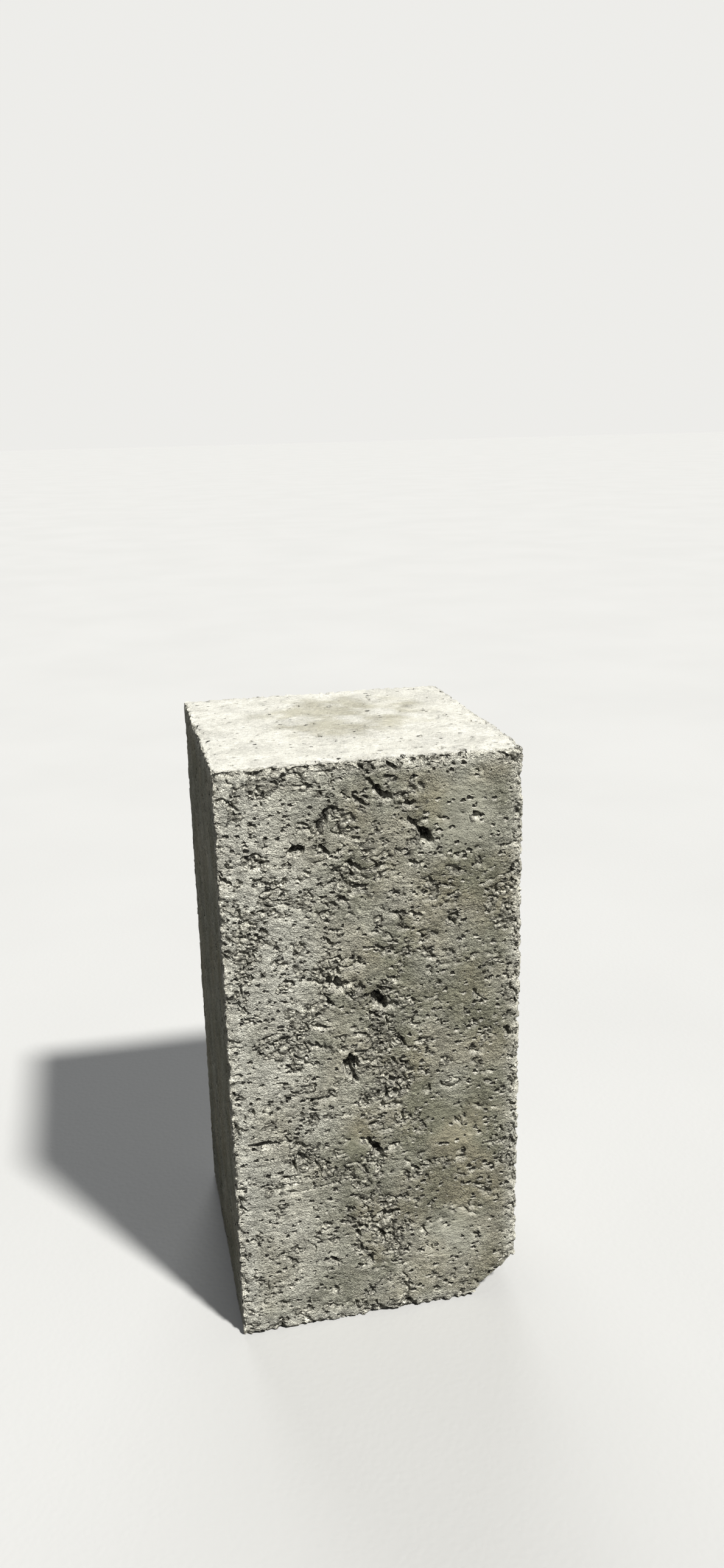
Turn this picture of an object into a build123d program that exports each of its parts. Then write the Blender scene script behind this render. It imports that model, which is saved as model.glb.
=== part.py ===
from build123d import *
import os

# Dense solid concrete block, pressed in a steel mould and stood on one end.
# Millimetres. Origin at the middle of the end it stands on, +Z up along its length.
# -Y is the pitted mould face, -X the bed that lay on the pallet, +X the pressed bed.

# Block
block_length = 390.0  # along Z, between the two ends
block_width = 190.0  # along X, between the two beds
block_depth = 190.0  # along Y, between the two mould faces

# Arrises: how far the wear reaches into both faces at even steps along each arris.
# The pallet side came out crisp, the pressed side crumbled as the mould was lifted.
pallet_side_wear = [2.0, 1.4, 1.9, 1.5, 2.2, 1.6, 2.4]  # uprights, bottom to top
pallet_rim_wear = [2.2, 1.6, 2.8, 1.8, 2.6]  # front to back
pressed_side_wear = [5.0, 3.0, 4.2, 2.6, 4.6, 2.4, 3.8, 2.8, 5.6]  # uprights, bottom to top
pressed_rim_wear = [3.0, 2.2, 2.6, 6.0, 4.6, 6.2, 9.0]  # front to back
front_end_wear = [2.4, 3.0, 2.2, 3.4, 2.6, 4.4]  # pallet side to pressed side
back_end_wear = [2.0, 1.8, 2.6, 3.4, 2.0, 5.0]  # pallet side to pressed side
round_fullness = 0.34  # of the reach: where the middle of the round lies on its diagonal

# Broken corner at the foot of the pressed side
break_along_foot = 29.0  # along X: where it meets the foot on the mould face
break_up_side = 25.0  # along Z: where it meets the pressed side there
break_hollow = 85.0  # radius of its hollow
break_into_depth = 58.0  # along Y: where it runs out

# Spalls along the arrises: (where along the arris from its near end, length, depth)
pressed_upright_spalls = [(62.0, 24.0, 3.2), (232.0, 30.0, 3.0), (302.0, 26.0, 3.6)]
pressed_top_spalls = [(84.0, 22.0, 4.6), (112.0, 24.0, 4.6), (140.0, 22.0, 4.2), (166.0, 24.0, 4.8)]
pallet_top_spalls = [
    (34.0, 11.0, 2.6),
    (58.0, 9.0, 2.2),
    (92.0, 13.0, 2.6),
    (112.0, 20.0, 4.6),
    (141.0, 16.0, 3.2),
    (171.0, 12.0, 2.4),
]
front_top_spalls = [(31.0, 13.0, 3.0), (84.0, 12.0, 2.6), (127.0, 9.0, 3.0), (150.0, 10.0, 3.4)]
front_foot_spalls = [(156.0, 26.0, 2.4)]
back_top_spalls = [(108.0, 44.0, 3.6), (121.0, 12.0, 5.0), (158.0, 16.0, 2.4)]

# The twelve largest voids and tears of the mould face.
# Each is (from the pallet arris, from the top end, length, girth, depth, lean in degrees),
# and a lean above 0 rises towards the pressed side.
upper_tears = [
    (102.0, 24.0, 13.0, 6.0, 4.0, -38.0),
    (117.5, 30.0, 9.5, 6.0, 5.0, -8.0),
    (120.5, 43.5, 13.0, 5.2, 3.6, -50.0),
    (128.0, 53.5, 12.0, 7.4, 5.6, -64.0),
    (64.0, 37.5, 18.0, 6.4, 3.2, 68.0),
    (47.5, 53.5, 9.5, 7.0, 4.8, 12.0),
    (69.5, 143.0, 12.0, 8.4, 5.0, -18.0),
    (97.5, 158.5, 16.0, 8.0, 5.2, -58.0),
]
# The same, with the second number from the end that the block stands on
lower_tears = [
    (76.5, 189.0, 16.0, 8.8, 5.4, 78.0),
    (19.5, 141.5, 17.0, 5.0, 3.4, -4.0),
    (94.0, 126.0, 18.0, 5.4, 3.0, -62.0),
    (101.5, 76.0, 13.0, 5.6, 3.6, 24.0),
]

# Outline of a broken void, as shares of its length and its girth
void_outline = [
    (-0.5, -0.06),
    (-0.3, 0.38),
    (0.08, 0.5),
    (0.38, 0.3),
    (0.5, -0.02),
    (0.18, -0.5),
    (-0.24, -0.4),
]
void_floor = 0.42  # size of a void's floor against its mouth
spall_breadth = 2.6  # breadth of a spall's floor against its depth

overrun = 4.0  # how far a cutting tool stands out of the block

left = -block_width / 2
right = block_width / 2
front = -block_depth / 2
back = block_depth / 2
to_right, to_back, up = Vector(1, 0, 0), Vector(0, 1, 0), Vector(0, 0, 1)


def worn_arris(start, end, across_one, across_two, wear):
    """Tool that rounds the arris from start to end by the wear listed along it.

    across_one and across_two point from the arris into its two faces.
    """
    along = (end - start).normalized()
    sections = []
    for station, reach in enumerate(wear):
        share = station / (len(wear) - 1)
        at = start + (end - start) * share + along * overrun * (2 * share - 1)
        foot_one = at + across_one * reach
        foot_two = at + across_two * reach
        middle = at + (across_one + across_two) * reach * round_fullness
        outline = Polyline(
            foot_one,
            foot_one - across_two * overrun,
            at - (across_one + across_two) * overrun,
            foot_two - across_one * overrun,
            foot_two,
        )
        sections.append(make_face([*outline.edges(), ThreePointArc(foot_two, middle, foot_one)]))
    return loft(sections, ruled=True)


def broken_void(length, girth, depth):
    """Flat-sided void with its mouth on the XY plane, narrowing down to its floor."""
    above = 1 + (1 - void_floor) * overrun / depth
    levels = []
    for z, size in ((overrun, above), (-depth, void_floor)):
        rim = [(x * length * size, y * girth * size, z) for x, y in void_outline]
        levels.append(make_face(Polyline(*rim, close=True)))
    return loft(levels, ruled=True)


def spall(start, end, across_one, across_two, place, length, depth):
    """Flake lost from the arris from start to end: a void whose floor cuts across it."""
    along = (end - start).normalized()
    outward = -(across_one + across_two).normalized()
    at = Plane(start + along * place, x_dir=along, z_dir=outward)
    return at * broken_void(length, spall_breadth * depth / void_floor, depth)


def upright_wear():
    """Rounds of the four arrises along Z."""
    rise = Vector(0, 0, block_length)
    tools = []
    for x, across, wear in (
        (left, to_right, pallet_side_wear),
        (right, -to_right, pressed_side_wear),
    ):
        for y, deep, order in ((front, to_back, wear), (back, -to_back, wear[::-1])):
            foot = Vector(x, y, 0)
            tools.append(worn_arris(foot, foot + rise, across, deep, order))
    return tools


def rim_wear(level, into_block):
    """Rounds of the four arrises of the end at this level."""
    tools = []
    for x, across, wear in (
        (left, to_right, pallet_rim_wear),
        (right, -to_right, pressed_rim_wear),
    ):
        ends = Vector(x, front, level), Vector(x, back, level)
        tools.append(worn_arris(*ends, across, into_block, wear))
    for y, deep, wear in ((front, to_back, front_end_wear), (back, -to_back, back_end_wear)):
        ends = Vector(left, y, level), Vector(right, y, level)
        tools.append(worn_arris(*ends, deep, into_block, wear))
    return tools


def spalls():
    """Flakes lost from the arrises."""
    pallet_foot = Vector(left, front, 0)
    pressed_foot = Vector(right, front, 0)
    pallet_front = Vector(left, front, block_length)
    pallet_back = Vector(left, back, block_length)
    pressed_front = Vector(right, front, block_length)
    pressed_back = Vector(right, back, block_length)
    return [
        spall(start, end, across_one, across_two, *flake)
        for start, end, across_one, across_two, flakes in (
            (pressed_foot, pressed_front, -to_right, to_back, pressed_upright_spalls),
            (pressed_front, pressed_back, -to_right, -up, pressed_top_spalls),
            (pallet_front, pallet_back, to_right, -up, pallet_top_spalls),
            (pallet_front, pressed_front, to_back, -up, front_top_spalls),
            (pallet_foot, pressed_foot, to_back, up, front_foot_spalls),
            (pallet_back, pressed_back, -to_back, -up, back_top_spalls),
        )
        for flake in flakes
    ]


def corner_break():
    """Drum that breaks the corner off.

    It passes through both ends of the break on the mould face, and its axis leaves the block
    sideways and down, so that the break runs out in the depth.
    """
    corner = Vector(right, front, 0)
    foot = corner - Vector(break_along_foot, 0, 0)
    side = corner + Vector(0, 0, break_up_side)
    chord = side - foot
    outward = Vector(chord.Z, 0, -chord.X).normalized()
    rise = (break_hollow**2 - chord.length**2 / 4) ** 0.5
    centre = (foot + side) * 0.5 + outward * rise
    bite = break_hollow - (centre - corner).length
    axis = to_back + outward * (bite / break_into_depth)
    return Plane(centre, z_dir=axis) * Cylinder(break_hollow, 2 * (break_into_depth + overrun))


def tear_tools():
    """Voids and tears of the mould face."""
    tools = []
    for level, upward, tears in ((0, 1, lower_tears), (block_length, -1, upper_tears)):
        for from_pallet, from_end, length, girth, depth, lean in tears:
            middle = (left + from_pallet, front, level + upward * from_end)
            face = Plane(middle, x_dir=to_right, z_dir=-to_back) * Rot(0, 0, lean)
            tools.append(face * broken_void(length, girth, depth))
    return tools


def concrete_block():
    """The cast block with its wear, spalls, broken corner and tears taken off."""
    block = Box(block_width, block_depth, block_length, align=(Align.CENTER, Align.CENTER, Align.MIN))
    for tools in (
        upright_wear(),
        rim_wear(0, up),
        rim_wear(block_length, -up),
        spalls(),
        [corner_break()],
        tear_tools(),
    ):
        block = block - tools
    return block


os.makedirs("parts", exist_ok=True)
export_step(concrete_block(), "parts/concrete_block.step")
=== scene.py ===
import math

import bpy
import numpy as np
from mathutils import Matrix, Vector


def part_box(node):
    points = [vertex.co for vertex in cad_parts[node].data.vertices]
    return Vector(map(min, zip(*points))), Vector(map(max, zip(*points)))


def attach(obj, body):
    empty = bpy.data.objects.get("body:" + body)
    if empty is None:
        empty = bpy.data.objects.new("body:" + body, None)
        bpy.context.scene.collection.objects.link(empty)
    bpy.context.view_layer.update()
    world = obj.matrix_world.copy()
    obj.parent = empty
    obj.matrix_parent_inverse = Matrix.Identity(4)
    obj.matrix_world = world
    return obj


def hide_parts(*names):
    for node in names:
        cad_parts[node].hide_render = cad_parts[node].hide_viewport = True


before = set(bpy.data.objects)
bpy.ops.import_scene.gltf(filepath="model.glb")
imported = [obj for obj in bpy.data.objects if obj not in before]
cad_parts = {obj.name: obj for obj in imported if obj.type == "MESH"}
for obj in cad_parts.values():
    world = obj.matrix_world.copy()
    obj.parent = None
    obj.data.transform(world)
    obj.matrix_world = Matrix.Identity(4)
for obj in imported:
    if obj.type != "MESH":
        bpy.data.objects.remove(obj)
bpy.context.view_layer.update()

# A dense solid concrete block, pressed in a steel mould and stood on its end.
# It is one casting, so one mesh stands for the one CAD node.
# Shapes are worked out in millimetres and put into the mesh in metres.
# x runs from the pallet bed (-) to the pressed bed (+), y from the pitted front (-) to the back,
# and z from the foot up. "across" is counted from the pallet arris, "height" from the foot.

mm = 0.001
lowest, highest = (np.array(corner, float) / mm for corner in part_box("concrete_block"))
blockSize = highest - lowest
blockMiddle = (highest + lowest) / 2
halfSize = blockSize / 2


# Camera

cameraSet = {
    "place": (-0.1527, -0.7711, 0.5821),  # metres, fitted to the block's edges in the photograph
    "aim": (-0.0065, -0.095, 0.3749),  # where the middle of the view meets the front face
    "roll": -1.29,  # degrees
    "sensor": 36.0,  # along the taller side of the image
    "lens": 28.135,
}


def placeCamera():
    made = bpy.data.cameras.new("camera")
    made.sensor_fit = "AUTO"
    made.sensor_width = cameraSet["sensor"]
    made.lens = cameraSet["lens"]
    camera = bpy.data.objects.new("camera", made)
    bpy.context.scene.collection.objects.link(camera)
    place = Vector(cameraSet["place"])
    looking = (Vector(cameraSet["aim"]) - place).to_track_quat("-Z", "Y").to_matrix()
    turned = looking @ Matrix.Rotation(math.radians(cameraSet["roll"]), 3, "Z")
    camera.matrix_world = Matrix.Translation(place) @ turned.to_4x4()
    bpy.context.scene.camera = camera


placeCamera()
print("camera placed")


# Noise and dents, as whole arrays of points in millimetres

# The chance behind each pattern; another number gives another block
seeds = {
    "slopes": 11,
    "drift": 21,
    "cluster": 25,
    "voidRims": 31,
    "swell": 40,
    "shift": 41,
    "ragged": 45,
    "patch": 50,
    "lump": 60,
    "crack": 65,
    "crackGaps": 68,
    "tear": 81,
    "pore": 82,
    "bite": 90,
    "grain": 95,
    "chip": 97,
    "dust": 99,
    "topRim": 103,
    "break": 300,
}

slopes = np.random.default_rng(seeds["slopes"]).normal(size=(256, 3))
slopes = (slopes / np.linalg.norm(slopes, axis=1, keepdims=True)).astype(np.float32)
cellCorners = [np.array((i, j, k), np.uint32) for i in (0, 1) for j in (0, 1) for k in (0, 1)]


def stirred(number):
    # Shift, xor and multiply by a large odd number, twice: scrambles whole numbers.
    number = (number ^ (number >> np.uint32(15))) * np.uint32(0x2C1B3C6D)
    number = (number ^ (number >> np.uint32(12))) * np.uint32(0x297A2D39)
    return number ^ (number >> np.uint32(15))


def cellNumber(cell, seed):
    # One repeatable random whole number for each cell: its three places times large primes, xored.
    mixed = cell[:, 0] * np.uint32(73856093) ^ cell[:, 1] * np.uint32(19349663)
    mixed ^= cell[:, 2] * np.uint32(83492791)
    return stirred(mixed + np.uint32(seed * 7919 + 13))


def low16(number):
    return (number & np.uint32(0xFFFF)).astype(np.float32) / 65535


def high16(number):
    return (number >> np.uint32(16)).astype(np.float32) / 65535


def smooth(rise):
    # 3t^2 - 2t^3 between 0 and 1, level outside.
    rise = np.clip(rise, 0, 1)
    return rise * rise * (3 - 2 * rise)


def noise(points, size, seed):
    # Gradient noise, about -1 to 1. Every corner of a cell has a random slope; the eight rises
    # that a point has along them are blended by the fade 6t^5 - 15t^4 + 10t^3 on each axis.
    at = points / np.asarray(size, np.float32)
    cell = np.floor(at)
    inside = (at - cell).astype(np.float32)
    fade = inside ** 3 * (inside * (inside * 6 - 15) + 10)
    cell = cell.astype(np.int32).astype(np.uint32)
    total = np.zeros(len(at), np.float32)
    for corner in cellCorners:
        slope = slopes[cellNumber(cell + corner, seed) & np.uint32(255)]
        rise = ((inside - corner) * slope).sum(axis=1)
        total += rise * np.where(corner, fade, 1 - fade).prod(axis=1)
    return total * 1.75  # brings its usual range to about -1 to 1


def layered(points, size, layers, seed, keep=0.55):
    # Sum of noises, each half the size of the one before and "keep" times its height.
    size = np.asarray(size, np.float32)
    return sum(noise(points, size / 2 ** n, seed + n) * keep ** n for n in range(layers))


def wander(points, size, seed):
    # Three noises side by side: how far each point is pushed along x, y and z.
    return np.stack([noise(points, size, seed + n) for n in range(3)], axis=1)


def dents(points, cell, share, seed, edge=0.5, smallest=0.35):
    # Ball-shaped dents in random places, 0 at the rim to 1 on the floor. Each cell holds at most
    # one, centred anywhere in it and at most half a cell in radius, so that only the eight cells
    # about a point's nearest corner can reach it. "share" is how many of the cells have theirs,
    # "edge" how much of the radius the wall takes, "smallest" the least size against the largest.
    at = (points / np.asarray(cell, np.float32)).astype(np.float32)
    first = np.floor(at - 0.5)
    deepest = np.zeros(len(at), np.float32)
    for corner in cellCorners:
        home = first + corner
        number = cellNumber(home.astype(np.int32).astype(np.uint32), seed)
        more = stirred(number + np.uint32(77))  # a second number for the same cell
        centre = home + np.stack([low16(number), high16(number), low16(more)], axis=1)
        odds = high16(more)
        size = smallest + (1 - smallest) * (odds / np.maximum(share, 0.01) % 1) ** 2
        radius = 0.5 * size * smooth((share - odds) * 12)  # the last ones within the share are small
        apart = np.sqrt(((at - centre) ** 2).sum(axis=1))
        floor = smooth((1 - apart / np.maximum(radius, 1e-4)) / edge)
        deepest = np.maximum(deepest, floor * (0.4 + 0.6 * size))  # small dents are shallower
    return deepest


def lumps(points, size, layers, seed):
    # Rounded lumps with sharp creases between them, 0 in a crease: the sum of |noise|^0.8, each
    # layer half the size and half the height of the one before.
    size = np.asarray(size, np.float32)
    return sum(np.abs(noise(points, size / 2 ** n, seed + n)) ** 0.8 * 0.5 ** n for n in range(layers))


def between(start, end, share):
    return start + (end - start) * share


# The worn blank: a box whose arrises are rounded by a wear that changes along each of them

blockForm = {
    "step": (0.65, 0.9, 0.65),  # between the points of the lattice
    "triangles": 197000,  # what the thinned mesh keeps
    "frontKept": 0.8,  # how much the thinning spares the front, against the other faces
    "thinningPull": 0.004,
    "sharpAngle": 58.0,  # edges sharper than this are shaded as edges
    "wearBlend": 7.0,  # how near an arris its own wear takes over
    "wornBand": 7.0,  # how far in from an arris its pale rub shows
    "darkAtDepth": 3.0,  # a hollow this deep gets the full painted shade
    "layoutGap": 6.0,  # between the sides in the map for baking
    # how far the wear reaches into both faces, at even steps along each arris
    "palletSide": [2.0, 1.4, 1.9, 1.5, 2.2, 1.6, 2.4],  # uprights, foot to top
    "pressedSide": [5.0, 3.0, 4.2, 2.6, 4.6, 2.4, 3.8, 2.8, 5.6],
    "palletRim": [2.2, 1.6, 2.8, 1.8, 2.6],  # front to back
    "pressedRim": [3.0, 2.2, 2.6, 6.0, 4.6, 6.2, 9.0],
    "frontEnd": [2.4, 3.0, 2.2, 3.4, 2.6, 4.4],  # pallet side to pressed side
    "backEnd": [2.0, 1.8, 2.6, 3.4, 2.0, 5.0],
}


def boxLattice(step):
    # Six grids of points on the faces of a box, one for each end of each axis, a whole number of
    # steps wide and high. Points that two or three grids share are merged by their lattice place.
    count = np.round(blockSize / np.array(step)).astype(int)
    places, quads, start = [], [], 0
    for axis in range(3):
        one, two = (axis + 1) % 3, (axis + 2) % 3
        u, v = np.meshgrid(np.arange(count[one] + 1), np.arange(count[two] + 1), indexing="ij")
        for end in (0, count[axis]):
            place = np.zeros(u.shape + (3,), np.int64)
            place[..., axis], place[..., one], place[..., two] = end, u, v
            number = start + np.arange(u.size).reshape(u.shape)
            ring = [number[:-1, :-1], number[1:, :-1], number[1:, 1:], number[:-1, 1:]]
            quad = np.stack(ring, axis=-1).reshape(-1, 4)
            quads.append(quad if end else quad[:, ::-1])
            places.append(place.reshape(-1, 3))
            start += u.size
    places = np.concatenate(places)
    key = (places[:, 0] * 100003 + places[:, 1]) * 100003 + places[:, 2]
    _, kept, merged = np.unique(key, return_index=True, return_inverse=True)
    points = lowest + places[kept] * blockSize / count
    return points.astype(np.float32), merged.reshape(-1)[np.concatenate(quads)]


def arrisWear(points):
    # Wear near each point: the six lists read along their arrises, weighed by exp(-d / wearBlend)
    # with d the distance to the arris, so that three wears blend at a corner.
    x, y, z = points.T
    inward = halfSize - np.abs(points - blockMiddle)

    def along(name, place, axis):
        values = blockForm[name]
        share = (place - lowest[axis]) / blockSize[axis]
        return np.interp(share, np.linspace(0, 1, len(values)), values)

    upright = np.where(y < 0, z, highest[2] - z)  # the back's lists run from the top down
    wears = (
        np.where(y < 0, along("frontEnd", x, 0), along("backEnd", x, 0)),
        np.where(x < 0, along("palletRim", y, 1), along("pressedRim", y, 1)),
        np.where(x < 0, along("palletSide", upright, 2), along("pressedSide", upright, 2)),
    )
    total, weights = 0, 1e-9
    for axis, wear in enumerate(wears):
        others = [n for n in range(3) if n != axis]
        weight = np.exp(-inward[:, others].sum(axis=1) / blockForm["wearBlend"])
        total, weights = total + wear * weight, weights + weight
    return (total / weights).astype(np.float32)


def wornBlank(points):
    # A point of the box goes to q + r n: q is the point held r inside every face, r the wear
    # there, and n the unit vector from q to the point. Returns the points and n.
    wear = arrisWear(points)[:, None]
    room = halfSize - wear
    core = blockMiddle + np.clip(points - blockMiddle, -room, room)
    outward = points - core
    outward /= np.linalg.norm(outward, axis=1, keepdims=True)
    return (core + wear * outward).astype(np.float32), outward.astype(np.float32)


# Breaks: balls taken off the arrises, and a slanting drum taken off the lower corner

breaks = {
    # flakes along an arris: place from its near end, length, depth
    "pressedUpright": [(62, 24, 3.2), (232, 30, 3.0), (302, 26, 3.6)],
    "pressedTop": [(84, 22, 4.6), (112, 24, 4.6), (140, 22, 4.2), (166, 24, 4.8)],
    "palletTop": [
        (34, 11, 2.6), (58, 9, 2.2), (92, 13, 2.6),
        (112, 20, 4.6), (141, 16, 3.2), (171, 12, 2.4),
    ],
    "frontTop": [(31, 13, 3.0), (84, 12, 2.6), (127, 9, 3.0), (150, 10, 3.4)],
    "backTop": [(108, 44, 3.6), (121, 12, 5.0), (158, 16, 2.4)],
    "frontFoot": [(156, 26, 2.4)],
    # broken corner at the foot of the pressed side: where it meets the foot and the side on the
    # front face, how hollow that line is, and how far into the depth it runs out
    "cornerAlongFoot": 29.0,
    "cornerUpSide": 25.0,
    "cornerHollow": 85.0,  # radius
    "cornerDepth": 58.0,
    # broken skin, on the balls and on the drum
    "roughness": 1.5,
    "roughSize": 8.0,
    "standsOut": 1.2,  # how far it stands proud of the cut, on average
    "rimDip": 0.3,  # how far it may lie below the cut at the rim
    "fade": 1.2,  # a point pushed this far counts as fully broken
}


def breakBalls():
    # A flake of length l and depth d is a ball of radius (l^2 / 4 + d^2) / 2d that comes in along
    # the arris's diagonal.
    left, front = lowest[:2]
    right = highest[0]
    top = highest[2]
    balls = []
    for name, start, along, outward in (
        ("pressedUpright", (right, front, 0), (0, 0, 1), (1, -1, 0)),
        ("pressedTop", (right, front, top), (0, 1, 0), (1, 0, 1)),
        ("palletTop", (left, front, top), (0, 1, 0), (-1, 0, 1)),
        ("frontTop", (left, front, top), (1, 0, 0), (0, -1, 1)),
        ("backTop", (left, highest[1], top), (1, 0, 0), (0, 1, 1)),
        ("frontFoot", (left, front, 0), (1, 0, 0), (0, -1, -1)),
    ):
        outward = np.array(outward) / math.sqrt(2)
        for place, length, depth in breaks[name]:
            radius = (length ** 2 / 4 + depth ** 2) / (2 * depth)
            balls.append((np.array(start) + np.array(along) * place + outward * (radius - depth), radius))
    return balls


def cornerDrum():
    # A point on the axis of the drum that breaks off the lower corner, its direction and its radius.
    # On the front face the drum passes through both ends of the break; its axis leaves the block
    # sideways and down, so that the break runs out at cornerDepth.
    foot = np.array((highest[0] - breaks["cornerAlongFoot"], lowest[1], 0))
    side = np.array((highest[0], lowest[1], breaks["cornerUpSide"]))
    corner = np.array((highest[0], lowest[1], 0))
    half = np.linalg.norm(side - foot) / 2
    outward = np.array((side - foot)[[2, 1, 0]]) * (1, 0, -1)
    outward /= np.linalg.norm(outward)
    radius = breaks["cornerHollow"]
    centre = (foot + side) / 2 + outward * math.sqrt(radius ** 2 - half ** 2)
    bite = radius - np.linalg.norm(centre - corner)
    axis = outward * bite / breaks["cornerDepth"] + (0, 1, 0)
    return centre, axis / np.linalg.norm(axis), radius


def breakOff(points, outward):
    # A point inside a ball or the drum is pushed straight out from its centre or axis, to a skin
    # that stands proud of the cut by standsOut and swells and dips by noise, but never lies below
    # the cut by more than rimDip and half the depth that the point had in the ball or drum. Returns
    # the points, their outward directions and a mask.
    broken = np.zeros(len(points), np.float32)
    tools = [(centre, None, radius) for centre, radius in breakBalls()] + [cornerDrum()]
    for centre, axis, radius in tools:
        apart = points - centre.astype(np.float32)
        if axis is not None:
            apart -= (apart @ axis)[:, None] * axis
        away = np.linalg.norm(apart, axis=1)
        near = np.flatnonzero(away < radius + 2)  # with room for the swell
        rough = layered(points[near], breaks["roughSize"], 3, seeds["break"]) * breaks["roughness"]
        deepest = 0.5 * (radius - away[near]) + breaks["rimDip"]
        skin = radius + np.minimum(rough - breaks["standsOut"], deepest)
        push = np.maximum(skin - away[near], 0)
        inward = apart[near] / away[near, None]
        points[near] += inward * push[:, None]
        taken = smooth(push / breaks["fade"])
        outward[near] = between(outward[near], -inward, taken[:, None])
        broken[near] = np.maximum(broken[near], taken)
    outward /= np.linalg.norm(outward, axis=1, keepdims=True)
    return points.astype(np.float32), outward.astype(np.float32), broken


# Relief: how deep the surface lies below the worn blank

relief = {
    "drift": 0.22,  # how much the torn share of the other faces varies
    "driftSize": 60.0,
    "swell": 0.3,  # long waves of the whole face
    "swellSize": 48.0,
    "shiftSize": 5.0,  # the two noises that push every pattern about
    "raggedSize": 1.9,
    "clusterSize": 15.0,  # torn skin comes in clusters
    "cluster": 0.45,
    "patchSize": (8.0, 7.0, 6.4),  # size of one torn patch, along x, y and z
    "patch": 0.55,
    "tornAbove": 0.5,  # the level past which clusters and patches tear the skin
    "tornEdge": 0.13,  # how soon past it
    "lipDepth": 0.7,  # how far torn skin lies below whole skin
    "lumpSize": (7.6, 6.8, 6.0),
    "lumpDepth": 3.1,
    "lumpLevel": 0.62,  # lumps this high come up to the lip
    "creviceLevel": 0.24,  # and below this lies a crevice
    "crackSize": (17.0, 12.0, 8.0),  # cracks that run on between the lumps
    "crackWidth": 0.09,
    "crackGapSize": 11.0,
    "crackDepth": 1.9,
    "tearCell": (10.0, 5.4, 4.8),
    "tearDepth": 2.4,
    "poreCell": 4.6,
    "poreDepth": 2.0,
    "grainSize": 3.2,
    "grainDepth": 0.42,
    "chipSize": 4.5,  # on broken skin
    "chipDepth": 0.9,
    "biteSize": 5.5,  # crumbled arrises
    "crumble": {"pallet": (7.0, 1.0), "pressed": (14.0, 2.2), "every": (8.0, 2.1)},  # reach, depth
    "palletBand": 12.0,  # how far in from its bed each side's crumbling goes
    "pressedBand": 24.0,
    "undercut": 0.4,  # how far a tear on an upright face runs up under its lip, for each mm of depth
    "quietTop": 0.75,  # how much calmer than the front the top is, and the left
    "quietLeft": 0.4,
}

# How much of each face's skin is torn, from 0 to 1
faceOpenness = {"left": 0.24, "right": 0.40, "front": 0.26, "back": 0.32, "bottom": 0.30, "top": 0.03}
# Patches of the front face: across, height, reach across, reach up, openness
frontPatches = [
    (20, 374, 28, 14, 0.48), (40, 345, 12, 10, 0.10), (74, 378, 14, 8, 0.16), (36, 305, 34, 16, 0.58),
    (76, 346, 16, 12, 0.50), (86, 318, 22, 12, 0.66), (152, 352, 30, 42, 0.02), (128, 300, 24, 14, 0.34),
    (22, 268, 24, 30, 0.52), (30, 212, 30, 24, 0.42), (72, 248, 14, 14, 0.66), (84, 222, 8, 9, 0.05),
    (102, 192, 12, 52, 0.92), (150, 250, 26, 36, 0.22), (150, 138, 26, 26, 0.02), (80, 132, 9, 20, 0.00),
    (36, 124, 26, 14, 0.40), (62, 116, 18, 10, 0.58), (50, 90, 30, 14, 0.12), (92, 62, 22, 24, 0.96),
    (12, 80, 14, 70, 0.26), (145, 58, 34, 36, 0.06), (50, 40, 26, 20, 0.14), (80, 12, 50, 10, 0.42),
    (185, 200, 7, 190, 0.62), (60, 389, 60, 6, 0.62), (140, 388, 30, 6, 0.50), (4, 200, 5, 190, 0.50),
]

# Dark smooth patches: across, height, reach across, reach up, strength
frontDark = [
    (152, 136, 26, 24, 0.45), (82, 132, 10, 22, 0.45), (128, 100, 26, 20, 0.25), (168, 300, 20, 24, 0.25),
    (160, 210, 18, 40, 0.20), (122, 170, 14, 26, 0.25), (60, 330, 14, 10, 0.25),
]

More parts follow.
